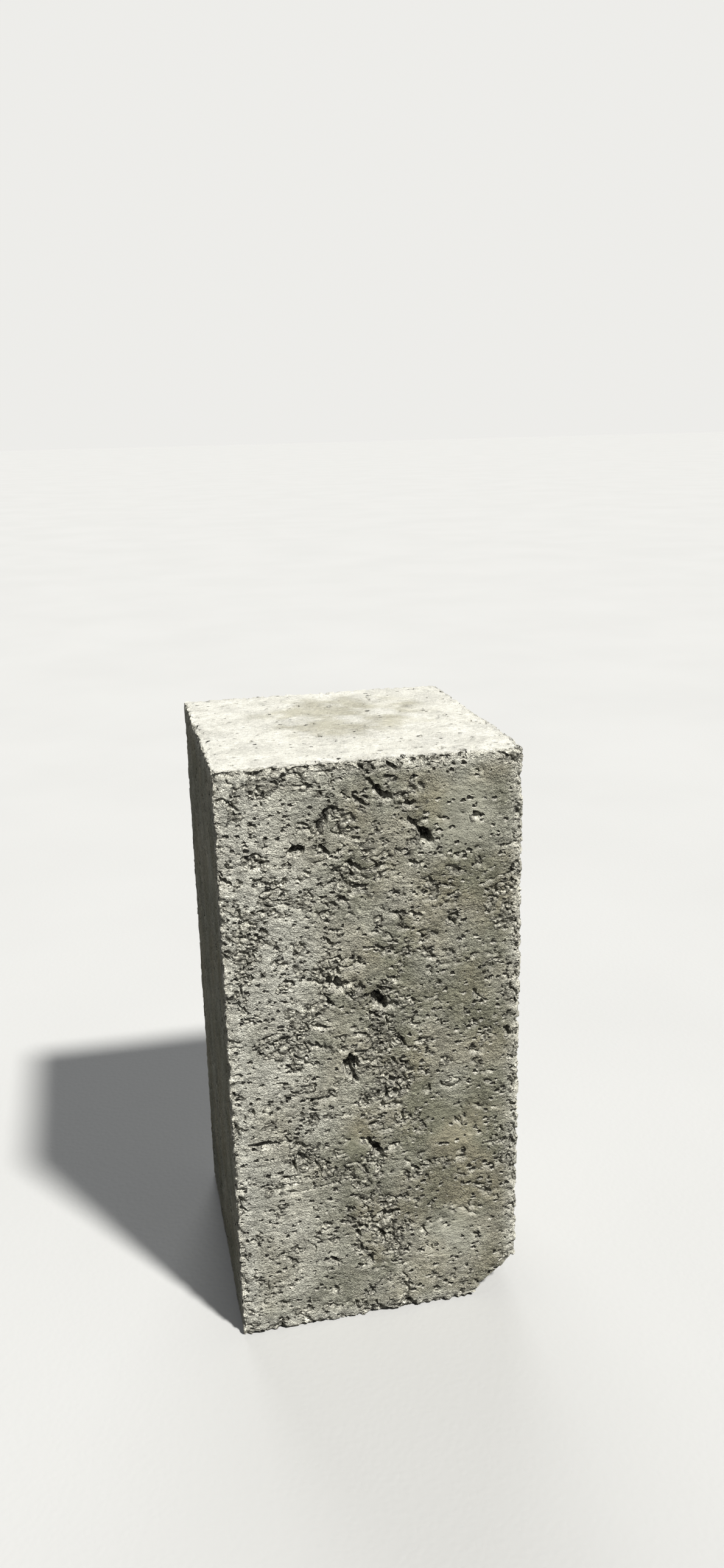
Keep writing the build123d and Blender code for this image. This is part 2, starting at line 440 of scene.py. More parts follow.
# Voids and tears of the front face: across, height, length, girth, depth, lean in degrees, above
# 0 where it rises towards the pressed side. The first twelve are the solid's own; four of them are
# slimmer here, because torn skin widens them.
frontVoids = [
    (102, 366, 13, 5.2, 4.0, -38), (117.5, 360, 9.5, 5, 5.0, -8), (120.5, 346.5, 13, 4.4, 3.6, -50),
    (128, 336.5, 12, 7.4, 5.6, -64), (64, 352.5, 18, 5.0, 2.6, 68), (47.5, 336.5, 9.5, 7, 4.8, 12),
    (69.5, 247, 12, 8.4, 5.0, -18), (97.5, 231.5, 16, 8, 5.2, -58), (76.5, 189, 16, 8.8, 5.4, 78),
    (19.5, 141.5, 17, 5, 3.4, -4), (94, 126, 18, 5.4, 3.0, -62), (101.5, 76, 13, 5.6, 3.6, 24),
    (64.8, 334.7, 11, 3, 2.4, -50), (159, 349.4, 5, 4.4, 3.2, -50), (106.2, 384, 9, 3.6, 2.6, -42),
    (30, 386.5, 12, 3.2, 2.2, 25), (124.5, 387.5, 8, 4, 3.0, 88), (149.8, 388, 8, 3, 2.6, 88),
    (93, 375.6, 6, 3.2, 2.2, -50), (97, 371.5, 6, 3, 2.4, 20), (105, 377.4, 8, 2.6, 1.8, 4),
    (26, 372.4, 10, 2, 1.5, -20), (52, 377, 14, 2.2, 1.4, 5), (87, 364, 10, 3, 2.0, -46),
    (52, 353, 9, 2.6, 1.7, -28), (25, 329.8, 11, 2.6, 1.9, 8),
    (84, 342, 6, 3.4, 2.2, -45), (82.5, 323.8, 12, 2.8, 2.1, -34), (97.5, 321.6, 9, 2.6, 1.9, 24),
    (86, 309.6, 10, 2.8, 2.2, 10), (75.5, 303.2, 8, 3, 2.0, -30), (63.5, 305.5, 6, 2.6, 1.8, 0),
    (120.5, 322, 8, 2.4, 1.7, -8), (147, 325, 8, 1.8, 1.3, 12), (4.5, 321.5, 10, 2.6, 2.0, -40),
    (109, 290.6, 9, 2.8, 2.0, -10), (121, 288.4, 10, 2.6, 1.8, -26), (66, 275.8, 9, 3, 2.1, -45),
    (97, 268, 9, 2.2, 1.6, -50), (50, 258.5, 6, 2.6, 1.9, 10), (82, 259, 13, 2.6, 1.8, 4),
    (70.6, 255, 8, 3.2, 2.4, -50), (65.6, 234.6, 6, 4.2, 3.2, -20), (105, 247, 9, 2.8, 2.0, -26),
    (96, 236.2, 7, 4.4, 3.4, -30), (101, 229, 10, 3.4, 3.0, 8), (160.5, 229, 9, 2, 1.6, -52),
    (60, 219.5, 12, 2.4, 1.8, -14), (101.6, 216.6, 10, 2, 1.8, -76), (84, 211.6, 9, 2.8, 2.2, -14),
    (119, 214, 8, 2.6, 1.8, -22), (58, 206.6, 9, 2.6, 1.9, -50), (110, 203, 9, 3, 2.3, -46),
    (98, 201.4, 5, 3.2, 2.3, 30), (84, 198.6, 16, 2.2, 1.6, 2), (124, 201.4, 9, 2, 1.5, 4),
    (180.6, 199.6, 11, 2.6, 1.9, -70), (79.6, 181, 10, 3, 2.3, -64), (105.4, 189.6, 9, 3.4, 2.8, -48),
    (106.4, 174.8, 12, 3.2, 2.6, -14), (34, 183.4, 7, 2.4, 1.8, -10), (51.6, 167.4, 5.5, 2.8, 2.2, 60),
    (13.6, 165.4, 4, 3, 2.2, 0), (106, 166.6, 8, 3.4, 2.4, 4), (96.4, 158, 5, 4.2, 3.0, 60),
    (104.6, 158.4, 10, 2.2, 1.7, 0), (110.4, 148.6, 4, 2.2, 1.8, 85), (91, 146, 8, 2.8, 2.0, 20),
    (99, 140.6, 10, 2, 1.6, -2), (86.4, 134.8, 8, 3.6, 3.0, -32), (104, 128.2, 9, 3.4, 2.6, 28),
    (43.8, 129, 9, 3.2, 2.6, -36), (38.6, 122.6, 8, 2.6, 2.2, -76), (34, 115.4, 7, 2.6, 2.0, 8),
    (113.4, 114.4, 5, 2.8, 2.2, -50), (119.4, 108.2, 7, 2.8, 2.4, -45), (149.4, 112.4, 6, 2, 1.5, 0),
    (147.4, 139.8, 7, 1.6, 1.2, -50), (70, 127.6, 9, 1.6, 1.2, 10), (97, 77.6, 8, 4, 2.8, -20),
    (73.4, 86, 7, 3, 2.0, -30), (85, 69, 14, 2.8, 2.2, 2), (79.4, 64, 8, 2.8, 2.2, 82),
    (96.2, 59.4, 11, 3, 2.4, -70), (76, 56, 6, 3, 2.0, -20), (83.6, 52, 5, 3.4, 2.2, -30),
    (62.6, 48.6, 9, 4, 3.0, -50), (87, 44, 7, 2.8, 2.0, 76), (82, 40, 7, 2.6, 1.8, 0),
    (34.4, 53.8, 6, 2.8, 2.0, -40), (28, 21, 7, 2.6, 1.9, -26), (63.2, 25, 4.6, 3.6, 2.6, 70),
    (77.6, 10, 8, 2.6, 2.0, -68), (92.6, 7, 7, 2.2, 1.8, -60), (17.4, 35, 6, 2.2, 1.6, 78),
    (124.4, 60, 7, 2, 1.5, -75), (129.6, 46, 5, 1.8, 1.3, -75), (113, 4.6, 7, 3.4, 2.4, 10),
    (150, 5, 6, 4, 2.6, 80), (10.6, 50, 4, 2.2, 1.6, -30), (160, 89.4, 4.5, 2, 1.5, -30),
]

# The same for the top, with the second number from the front
topVoids = [
    (140, 12, 7, 5, 3.0, 20), (151, 5, 4, 3.4, 2.2, 0), (83, 9, 5, 3, 2.0, 10), (97, 11, 5, 3, 2.0, -10),
    (104, 9, 4, 2.6, 1.8, 30), (72, 11, 4.4, 2.6, 1.8, 0), (55, 6, 4, 2.6, 1.8, 20),
    (38, 7, 3.4, 2.4, 1.6, 0), (62, 4, 4, 2.4, 1.8, -20), (160, 8, 3.4, 2.6, 1.8, 0),
    (180, 9, 4.4, 3, 2.0, 40), (90, 5, 5, 3, 2.2, 0), (75, 149, 5, 3, 1.8, 70),
    (127.5, 157, 11, 1.6, 1.4, 88), (141, 135, 3.4, 3, 1.8, 0), (165, 95, 3, 2.2, 1.4, 30),
    (165, 88, 3, 2, 1.4, 0), (113, 42, 3.2, 2.2, 1.5, -20), (107, 81, 3, 2, 1.4, 0),
    (41, 80, 3.4, 2.2, 1.5, 10), (34, 171, 4, 2.4, 1.6, 0), (77, 95, 3, 2, 1.4, 40),
    (177, 72, 3.6, 2.4, 1.6, 80), (30, 63, 3, 2.2, 1.4, 0), (177.5, 140, 3.6, 2.4, 1.6, 70),
]

# What the listed voids have in common
voidForm = {
    "deepened": 1.25,  # against the depth in their list
    "mouth": 1.2,  # where the wall begins, against the rim
    "wall": 0.28,  # how much of the way in the wall takes, and how much more of it below
    "lowerWall": 0.42,
    "coarsePush": (1.3, 1.1),  # across and up
    "coarseSize": 5.0,
    "finePush": 0.8,
    "fineSize": 2.4,
    "ragged": 0.4,  # of the rim itself
    "raggedSize": 3.2,
}

# Dust: how much of it lies on each place, from 0 to 1
dust = {
    "everywhere": 0.22,
    "clouds": 0.3,  # how much that varies
    "cloudSize": 34.0,
    "palletSide": (92.0, 70.0),  # of the front: how far across it reaches, and where it fades
    "low": 0.45,  # how much lies there low down, and how much more high up
    "rise": 0.4,
    "risesFrom": 110.0,
    "risesOver": 190.0,
    "palletArris": (18.0, 14.0),  # the same for the strip along the arris, and how much more it has
    "arrisMore": 0.35,
    "stainMiddle": (8.0, 14.0),  # of the top, which is stained where the dust leaves an oval bare
    "stainHalf": (62.0, 64.0),
    "stainRagged": 0.25,
    "stainSize": 22.0,
    "stainEdge": (0.55, 0.6),
    "everyArris": 0.7,
    "arrisReach": 13.0,
}


def openness(points, shares):
    # Each face's own share of torn skin: on the front soft patches exp(-(dx/rx)^2 - (dz/rz)^2)
    # pull it to their value, and on the other faces a long noise varies it.
    front = np.full(len(points), faceOpenness["front"], np.float32)
    for across, height, reachAcross, reachUp, value in frontPatches:
        far = ((points[:, 0] - lowest[0] - across) / reachAcross) ** 2
        far += ((points[:, 2] - height) / reachUp) ** 2
        front = between(front, value, np.exp(-far))
    drift = relief["drift"] * noise(points, relief["driftSize"], seeds["drift"])
    total = shares["front"] * front
    for face, value in faceOpenness.items():
        if face != "front":
            total = total + shares[face] * np.clip(value + drift * (0.3 + value), 0, 1)
    return total


def listedVoids(points, face, voids, upAxis):
    # Depth of a face's listed voids. In a void's own turned axes a and b the rim is where
    # (2a/length)^2 + (2b/girth)^2 = 1, pushed about by noise; on an upright face the wall is steep
    # above and gentler below. Also returns the torn skin about them.
    depth, about = np.zeros((2, len(points)), np.float32)
    facing = np.flatnonzero(face > 0.2)
    on = points[facing]

    def pushed(axis, coarse, seed):
        # place along an axis, pushed about by a coarse and a fine noise
        place = on[:, axis] - lowest[axis] + coarse * noise(on, voidForm["coarseSize"], seed)
        return place + voidForm["finePush"] * noise(on, voidForm["fineSize"], seed + 1)

    pushAcross, pushUp = voidForm["coarsePush"]
    across = pushed(0, pushAcross, seeds["voidRims"])
    height = pushed(upAxis, pushUp, seeds["voidRims"] + 2)
    ragged = voidForm["ragged"] * noise(on, voidForm["raggedSize"], seeds["voidRims"] + 4)
    found, halo = np.zeros((2, len(on)), np.float32)
    for left, level, length, girth, deep, lean in voids:
        near = np.flatnonzero(np.abs(across - left) + np.abs(height - level) < length + 5)
        turn = math.radians(lean)
        dx, dz = across[near] - left, height[near] - level
        a = dx * math.cos(turn) + dz * math.sin(turn)
        b = dz * math.cos(turn) - dx * math.sin(turn)
        rim = np.sqrt((2 * a / length) ** 2 + (2 * b / girth) ** 2) + ragged[near]
        lower = smooth(0.5 - dz / girth) * (upAxis == 2)
        wall = voidForm["wall"] + voidForm["lowerWall"] * lower
        sunk = voidForm["deepened"] * deep * smooth((voidForm["mouth"] - rim) / wall)
        found[near] = np.maximum(found[near], sunk)
        halo[near] = np.maximum(halo[near], smooth(2.3 - 1.3 * rim + 1.5 * lower * deep / girth))
    depth[facing], about[facing] = found, halo * smooth(found * 9 + 0.7)
    return depth, about


def tornSkin(points, shift, ragged, clustered):
    # The skin is torn where clusters and patches of noise add up past tornAbove. There it lies
    # lipDepth down, with lumps that stand up again, and cracks run on along the zero lines of a
    # longer noise. Returns the depth, the torn share and the crevices.
    patchy = relief["patch"] * layered(points + shift, relief["patchSize"], 4, seeds["patch"], 0.6)
    torn = smooth((clustered + patchy - relief["tornAbove"]) / relief["tornEdge"])
    torn = torn * smooth(clustered / 0.08)
    heap = lumps(points + shift * 1.5 + ragged * 0.7, relief["lumpSize"], 3, seeds["lump"])
    level = relief["lumpLevel"]
    heaped = relief["lipDepth"] + relief["lumpDepth"] * np.clip(level - heap, -0.3, level)
    line = np.abs(noise(points + 2 * shift, relief["crackSize"], seeds["crack"]))
    gaps = noise(points, relief["crackGapSize"], seeds["crackGaps"])
    crack = smooth(1.1 - line / relief["crackWidth"]) * smooth(2.0 * clustered + 1.8 * gaps - 0.7)
    crevice = np.maximum(torn * smooth(1 - heap / relief["creviceLevel"]), 0.8 * crack)
    return torn * heaped + relief["crackDepth"] * crack, torn, crevice


def tearsAndPores(points, shift, ragged, clustered, opened, calm):
    # Dents pushed about by noise: tears drawn out along x, more of them in a cluster, and pores,
    # more of them where the face is open.
    tearShare = np.clip(0.03 + 0.5 * clustered, 0, 0.8) * calm
    poreShare = (0.10 + 0.55 * opened) * calm
    tornAt = points + shift * 1.7 + ragged * 0.5
    tears = dents(tornAt, relief["tearCell"], tearShare, seeds["tear"], 0.38)
    pores = dents(points + ragged * 0.3, relief["poreCell"], poreShare, seeds["pore"], 0.6, 0.3)
    return relief["tearDepth"] * tears, relief["poreDepth"] * pores


def crumbledArrises(points, fromArris):
    # Bites of noise that fade out at their reach from an arris: those of the pallet side, of the
    # pressed side and of every arris, of which the deepest counts.
    bite = smooth(layered(points, relief["biteSize"], 3, seeds["bite"]) * 0.9 + 0.45)
    toPallet, toPressed = relief["palletBand"], relief["pressedBand"]
    weights = {
        "pallet": smooth((lowest[0] + toPallet - points[:, 0]) / toPallet),
        "pressed": smooth((points[:, 0] - highest[0] + toPressed) / toPressed),
        "every": 1,
    }
    crumble = 0
    for side, weight in weights.items():
        reach, depth = relief["crumble"][side]
        crumble = np.maximum(crumble, weight * depth * bite * smooth(1 - fromArris / reach))
    return crumble


def darkPatches(points):
    # Smooth patches of the front that stayed dark: the sum of exp(-(dx/rx)^2 - (dz/rz)^2).
    total = 0
    for across, height, reachAcross, reachUp, value in frontDark:
        far = ((points[:, 0] - lowest[0] - across) / reachAcross) ** 2
        total = total + value * np.exp(-far - ((points[:, 2] - height) / reachUp) ** 2)
    return total


def dustOn(points, shares, fromArris):
    # On the front the dust grows towards the pallet side and up the block, less the dark patches;
    # on the top it lies outside an oval with a ragged edge; and it lies along every arris.
    fromLeft = points[:, 0] - lowest[0]
    higher = dust["low"] + dust["rise"] * smooth((points[:, 2] - dust["risesFrom"]) / dust["risesOver"])
    sideReach, sideFade = dust["palletSide"]
    arrisReach, arrisFade = dust["palletArris"]
    side = higher * smooth((sideReach - fromLeft) / sideFade)
    pale = shares["front"] * (side + dust["arrisMore"] * smooth((arrisReach - fromLeft) / arrisFade))
    pale = pale + dust["everywhere"] + dust["clouds"] * layered(points, dust["cloudSize"], 2, seeds["dust"])
    pale = pale - shares["front"] * darkPatches(points)
    x, y = ((points[:, n] - dust["stainMiddle"][n]) / dust["stainHalf"][n] for n in (0, 1))
    fromMiddle = np.sqrt(x ** 2 + y ** 2)
    uneven = fromMiddle + dust["stainRagged"] * layered(points, dust["stainSize"], 3, seeds["topRim"])
    start, fade = dust["stainEdge"]
    pale = between(pale, smooth((uneven - start) / fade), shares["top"])
    return np.clip(pale + dust["everyArris"] * smooth(1 - fromArris / dust["arrisReach"]), 0, 1)


def surfaceRelief(points, shares, fromArris, broken):
    # Depth in mm: swell, plus the deepest of torn skin, tears and pores, held back about the listed
    # voids, plus those voids, crumbling arrises, grain and the chips of broken skin. Also returns
    # the masks that the material reads.
    opened = openness(points, shares)
    cluster = relief["cluster"] * layered(points, relief["clusterSize"], 2, seeds["cluster"])
    clustered = np.clip(opened * (1 + 1.6 * cluster) + 0.5 * cluster * (opened > 0.01) - 0.05, 0, 1)
    calm = (1 - relief["quietTop"] * shares["top"]) * (1 - relief["quietLeft"] * shares["left"])
    swell = relief["swell"] * (0.5 + 0.5 * layered(points, relief["swellSize"], 2, seeds["swell"]))
    shift = wander(points, relief["shiftSize"], seeds["shift"])
    ragged = wander(points, relief["raggedSize"], seeds["ragged"])
    skin, torn, crevice = tornSkin(points, shift, ragged, clustered * calm)
    tears, pores = tearsAndPores(points, shift, ragged, clustered, opened, calm)
    listed, about = listedVoids(points, shares["front"], frontVoids, 2)
    above, aboveAbout = listedVoids(points, shares["top"], topVoids, 1)
    listed = (listed + above) * (1 + 0.3 * ragged[:, 0])
    about = about + 0.4 * aboveAbout
    hollow = np.maximum.reduce([skin, tears, pores])
    hollow = hollow * (1 - 0.55 * smooth(listed / 1.2)) + listed
    crumble = crumbledArrises(points, fromArris)
    grain = relief["grainDepth"] * (0.35 + 0.65 * np.maximum(torn, broken))
    grain = grain * layered(points, relief["grainSize"], 2, seeds["grain"])
    chips = smooth(layered(points, relief["chipSize"], 3, seeds["chip"]) * 0.8 + 0.3)
    chips = broken * relief["chipDepth"] * chips
    depth = swell + hollow * (1 - 0.5 * broken) + crumble + grain + chips
    masks = {
        "opened": np.maximum.reduce([torn, broken * 0.8, about * smooth(0.3 + 1.6 * ragged[:, 1])]),
        "hollow": np.maximum.reduce([tears, pores, listed]) + crumble * 0.5,
        "crevice": crevice,
        "rough": smooth(opened / 0.22),
        "dusty": dustOn(points, shares, fromArris),
    }
    return np.maximum(depth, 0), masks


def faceShares(outward):
    # Square of the outward direction's part towards each face; the six add up to 1.
    names = (("left", "right"), ("front", "back"), ("bottom", "top"))
    return {
        name: np.clip(sign * outward[:, axis], 0, None) ** 2
        for axis, pair in enumerate(names)
        for name, sign in zip(pair, (-1, 1))
    }


def quadMesh(name, points, quads):
    mesh = bpy.data.meshes.new(name)
    mesh.vertices.add(len(points))
    mesh.vertices.foreach_set("co", points.astype(np.float32).ravel())
    mesh.loops.add(quads.size)
    mesh.loops.foreach_set("vertex_index", quads.astype(np.int32).ravel())
    mesh.polygons.add(len(quads))
    mesh.polygons.foreach_set("loop_start", np.arange(0, quads.size, 4, dtype=np.int32))
    return mesh


def makeBlock():
    # The lattice goes to the worn and broken blank, then in by its relief, and up under the lips.
    points, quads = boxLattice(blockForm["step"])
    blank = points.copy()
    print("lattice", len(points), "points")
    points, outward = wornBlank(points)
    shares = faceShares(outward)
    points, outward, broken = breakOff(points, outward)
    print("arrises worn and broken")
    fromArris = np.sort(halfSize - np.abs(points - blockMiddle), axis=1)[:, 1]
    depth, masks = surfaceRelief(points, shares, fromArris, broken)
    print("relief worked out, deepest", round(float(depth.max()), 2), "mm")
    upright = (1 - shares["top"] - shares["bottom"])[:, None]
    undercut = relief["undercut"] * np.maximum(masks["hollow"], depth)[:, None] * upright
    undercut = undercut * np.array((0, 0, 1), np.float32)
    points = np.clip(points - outward * depth[:, None] + undercut, lowest, highest)

    mesh = quadMesh("block", points, quads)
    values = {
        "opened": masks["opened"],
        "hollow": np.clip(masks["hollow"] / blockForm["darkAtDepth"], 0, 1),
        "crevice": masks["crevice"],
        "rough": masks["rough"],
        "dusty": masks["dusty"],
        "worn": smooth(1 - fromArris / blockForm["wornBand"]),
        "crown": shares["top"],
        "freely": 1 - blockForm["frontKept"] * shares["front"],
    }
    for name, value in values.items():
        made = mesh.attributes.new(name, "FLOAT", "POINT")
        made.data.foreach_set("value", value.astype(np.float32))
    mesh.attributes.new("blank", "FLOAT_VECTOR", "POINT").data.foreach_set("vector", blank.ravel())
    mesh.update(calc_edges=True)
    mesh.validate()
    return mesh


def thinned(mesh):
    # Collapses the edges that matter least until the mesh is light enough, sparing the front. It
    # works in millimetres; the light mesh is then put into metres. Ledges are where it faces up.
    rough = bpy.data.objects.new("rough", mesh)
    bpy.context.scene.collection.objects.link(rough)
    freely = np.zeros(len(mesh.vertices), np.float32)
    mesh.attributes["freely"].data.foreach_get("value", freely)
    group = rough.vertex_groups.new(name="freely")
    for level in np.unique(np.round(freely, 1)):
        group.add(np.flatnonzero(np.round(freely, 1) == level).tolist(), float(level), "REPLACE")
    mesh.attributes.remove(mesh.attributes["freely"])
    thin = rough.modifiers.new("thin", "DECIMATE")
    thin.ratio = min(1.0, blockForm["triangles"] / (2 * len(mesh.polygons)))
    thin.use_collapse_triangulate = True
    thin.vertex_group = group.name
    thin.vertex_group_factor = blockForm["thinningPull"]
    bpy.context.view_layer.update()
    light = bpy.data.meshes.new_from_object(rough.evaluated_get(bpy.context.evaluated_depsgraph_get()))
    bpy.data.objects.remove(rough)
    bpy.data.meshes.remove(mesh)
    points = np.zeros(3 * len(light.vertices), np.float32)
    light.vertices.foreach_get("co", points)
    points = np.clip(points.reshape(-1, 3), lowest, highest) * mm
    light.vertices.foreach_set("co", points.astype(np.float32).ravel())
    light.update()
    facing = np.zeros(3 * len(light.vertices), np.float32)
    light.vertex_normals.foreach_get("vector", facing)
    # how far each point faces up; the colour paints a highlight there, and less shade
    ledge = light.attributes.new("ledge", "FLOAT", "POINT")
    facingUp = facing[2::3]
    ledge.data.foreach_set("value", smooth((facingUp - 0.02) / 0.5).astype(np.float32))
    light.shade_smooth()
    light.set_sharp_from_angle(angle=math.radians(blockForm["sharpAngle"]))
    return light


def bakeLayout(mesh):
    # A map for baking, read from where each point lay on the box before it was worn. Each triangle
    # goes to the side that its middle is nearest to, and one that passes an arris is unfolded. The
    # four uprights stand side by side, the two ends above them.
    blank = np.zeros(3 * len(mesh.vertices), np.float32)
    mesh.attributes["blank"].data.foreach_get("vector", blank)
    mesh.attributes.remove(mesh.attributes["blank"])
    order = np.zeros(len(mesh.loops), np.int32)
    mesh.loops.foreach_get("vertex_index", order)
    place = (blank.reshape(-1, 3)[order] - blockMiddle).reshape(-1, 3, 3)
    middle = place.mean(axis=1) / halfSize
    side = 2 * np.abs(middle).argmax(axis=1)
    side += np.take_along_axis(middle, side[:, None] // 2, axis=1)[:, 0] > 0
    gap = blockForm["layoutGap"]
    whole = 4 * blockSize[0] + 5 * gap
    spots = np.zeros((len(place), 3, 2), np.float32)
    for number in range(6):
        here = side == number
        on = place[here]
        axis, outward = number // 2, 2 * (number % 2) - 1
        over = halfSize[axis] - outward * on[..., axis]
        column, row = number % 4, number // 4
        start = gap + column * (gap + blockSize[0]), gap + row * (gap + blockSize[2])
        turned = -1 if number in (0, 3, 4) else 1  # seen from outside, these run the other way
        for n, (other, way) in enumerate(zip(((1, 2), (0, 2), (0, 1))[axis], (turned, 1))):
            beyond = np.abs(on[..., other]) > halfSize[other] - 0.01  # points on the arris too
            spot = on[..., other] + np.sign(on[..., other]) * over * beyond
            spots[here, :, n] = (spot * way + halfSize[other] + start[n]) / whole
    mesh.uv_layers.new(name="OFBake").data.foreach_set("uv", spots.ravel())


blockMesh = thinned(makeBlock())
bakeLayout(blockMesh)
print("block", len(blockMesh.polygons), "triangles,", len(blockMesh.vertices), "points")
block = bpy.data.objects.new("block", blockMesh)
bpy.context.scene.collection.objects.link(block)


# Materials

def addNode(tree, kind, settings=None, **inputs):
    # One node; an input is given by its name, or as input0, input1 where names repeat.
    made = tree.nodes.new(kind)
    for name, value in (settings or {}).items():
        setattr(made, name, value)
    for name, value in inputs.items():
        socket = made.inputs[int(name[5:])] if name.startswith("input") else made.inputs[name]
        if isinstance(value, bpy.types.NodeSocket):
            tree.links.new(value, socket)
        else:
            socket.default_value = value
    return made


def calculate(tree, operation, one, two=0.0):
    return addNode(tree, "ShaderNodeMath", {"operation": operation}, input0=one, input1=two).outputs[0]


def times(tree, one, two):
    return calculate(tree, "MULTIPLY", one, two)


def plus(tree, one, two):
    return calculate(tree, "ADD", one, two)


def larger(tree, one, two):
    return calculate(tree, "MAXIMUM", one, two)


def ramp(tree, value, low, high, start=0.0, end=1.0):
    # value from low to high becomes start to end, eased at both ends
    settings = {"interpolation_type": "SMOOTHSTEP"}
    inputs = {"Value": value, "From Min": low, "From Max": high, "To Min": start, "To Max": end}
    return addNode(tree, "ShaderNodeMapRange", settings, **inputs).outputs[0]


def blend(tree, share, one, two, how="MIX"):
    settings = {"data_type": "RGBA", "blend_type": how}
    return addNode(tree, "ShaderNodeMix", settings, input0=share, input6=one, input7=two).outputs[2]


def startGroup(name, inputs, outputs):
    # A shader node group with named sockets: inputs give their kind and first value.
    tree = bpy.data.node_groups.new(name, "ShaderNodeTree")
    for socket, kind, value in inputs:
        made = tree.interface.new_socket(name=socket, in_out="INPUT", socket_type=kind)
        if value is not None:
            made.default_value = value
    for socket, kind in outputs:
        tree.interface.new_socket(name=socket, in_out="OUTPUT", socket_type=kind)
    return tree, tree.nodes.new("NodeGroupInput").outputs, tree.nodes.new("NodeGroupOutput")


def mottleGroup():
    # Soft patches: noise eased between two levels.
    inputs = [
        ("Vector", "NodeSocketVector", None),
        ("Scale", "NodeSocketFloat", 20.0),
        ("Detail", "NodeSocketFloat", 4.0),
        ("Low", "NodeSocketFloat", 0.4),
        ("High", "NodeSocketFloat", 0.6),
    ]
    tree, given, out = startGroup("mottle", inputs, [("Mask", "NodeSocketFloat")])
    socket = {name: given[name] for name in ("Vector", "Scale", "Detail")}
    cloud = addNode(tree, "ShaderNodeTexNoise", None, **socket)
    tree.links.new(ramp(tree, cloud.outputs["Fac"], given["Low"], given["High"]), out.inputs["Mask"])
    return tree


def grainGroup():
    # Sand: the grey of each small cell, and a height that is low between the cells.
    inputs = [("Vector", "NodeSocketVector", None), ("Scale", "NodeSocketFloat", 900.0)]
    outputs = [("Grey", "NodeSocketFloat"), ("Height", "NodeSocketFloat")]
    tree, given, out = startGroup("grain", inputs, outputs)
    socket = {name: given[name] for name in ("Vector", "Scale")}
    cells = addNode(tree, "ShaderNodeTexVoronoi", None, **socket)
    grey = addNode(tree, "ShaderNodeSeparateColor", None, Color=cells.outputs["Color"]).outputs["Red"]
    fine = addNode(tree, "ShaderNodeTexNoise", None, Detail=3.0, **socket).outputs["Fac"]
    bulge = times(tree, ramp(tree, cells.outputs["Distance"], 0.75, 0.1), 0.6)
    height = plus(tree, bulge, times(tree, fine, 0.8))
    tree.links.new(grey, out.inputs["Grey"])
    tree.links.new(height, out.inputs["Height"])
    return tree


def pitGroup():
    # Pits: the middles of scattered cells, pushed out of round by noise and kept by their random
    # share. Height falls from 0 at the rim to -1 on the floor; the mask is 1 under the upper lip, where
    # shadow is painted, and the rim 1 on the lower lip, where pale dust and a painted highlight lie.
    inputs = [
        ("Vector", "NodeSocketVector", None),
        ("Scale", "NodeSocketFloat", 300.0),
        ("Amount", "NodeSocketFloat", 0.5),
    ]
    outputs = [("Mask", "NodeSocketFloat"), ("RimDustAndHighlight", "NodeSocketFloat"), ("Height", "NodeSocketFloat")]
    tree, given, out = startGroup("pits", inputs, outputs)
    finer = times(tree, given["Scale"], 1.6)
    push = addNode(tree, "ShaderNodeTexNoise", None, Vector=given["Vector"], Scale=finer, Detail=3.0)
    wide = calculate(tree, "DIVIDE", 1.1, given["Scale"])
    warp = {"input0": push.outputs["Color"], "input1": wide, "input2": given["Vector"]}
    moved = addNode(tree, "ShaderNodeVectorMath", {"operation": "MULTIPLY_ADD"}, **warp).outputs[0]
    cells = addNode(tree, "ShaderNodeTexVoronoi", None, Vector=moved, Scale=given["Scale"])
    chance = addNode(tree, "ShaderNodeSeparateColor", None, Color=cells.outputs["Color"]).outputs
    room = ramp(tree, chance["Red"], 0.0, 1.0, 0.22, 0.52)  # radius, against the size of a cell
    inside = calculate(tree, "SUBTRACT", room, cells.outputs["Distance"])
    kept = calculate(tree, "LESS_THAN", chance["Green"], given["Amount"])
    low = times(tree, ramp(tree, inside, -0.04, 0.24), kept)
    ways = {"input0": moved, "input1": cells.outputs["Position"]}
    way = addNode(tree, "ShaderNodeVectorMath", {"operation": "SUBTRACT"}, **ways).outputs[0]
    above = addNode(tree, "ShaderNodeSeparateXYZ", None, Vector=way).outputs["Z"]
    above = times(tree, above, given["Scale"])
    floor = times(tree, ramp(tree, inside, 0.02, 0.12), kept)
    wall = times(tree, ramp(tree, inside, -0.10, 0.02), kept)
    # painted shadow under the upper lip
    tree.links.new(times(tree, floor, ramp(tree, above, -0.14, -0.02)), out.inputs["Mask"])
    # pale dust and painted highlight on the lower lip
    tree.links.new(times(tree, wall, ramp(tree, above, -0.02, -0.20)), out.inputs["RimDustAndHighlight"])
    tree.links.new(times(tree, low, -1.0), out.inputs["Height"])
    return tree


def flakeGroup():
    # Flaky skin: ragged steps, where noise passes each of three levels.
    inputs = [("Vector", "NodeSocketVector", None), ("Scale", "NodeSocketFloat", 150.0)]
    tree, given, out = startGroup("flakes", inputs, [("Height", "NodeSocketFloat")])
    socket = {name: given[name] for name in ("Vector", "Scale")}
    cloud = addNode(tree, "ShaderNodeTexNoise", None, Detail=5.0, Roughness=0.62, **socket).outputs["Fac"]
    steps = [ramp(tree, cloud, level, level + 0.05, 0, 1 / 3) for level in (0.38, 0.47, 0.56)]
    tree.links.new(plus(tree, plus(tree, steps[0], steps[1]), steps[2]), out.inputs["Height"])
    return tree


groups = {"mottle": mottleGroup(), "grain": grainGroup(), "pits": pitGroup(), "flakes": flakeGroup()}


def useGroup(tree, name, **inputs):
    made = addNode(tree, "ShaderNodeGroup", {"node_tree": groups[name]})
    for socket, value in inputs.items():
        if isinstance(value, bpy.types.NodeSocket):
            tree.links.new(value, made.inputs[socket])
        else:
            made.inputs[socket].default_value = value
    return made.outputs


def stretched(tree, vector, scale):
    return addNode(tree, "ShaderNodeMapping", None, Vector=vector, Scale=scale).outputs[0]


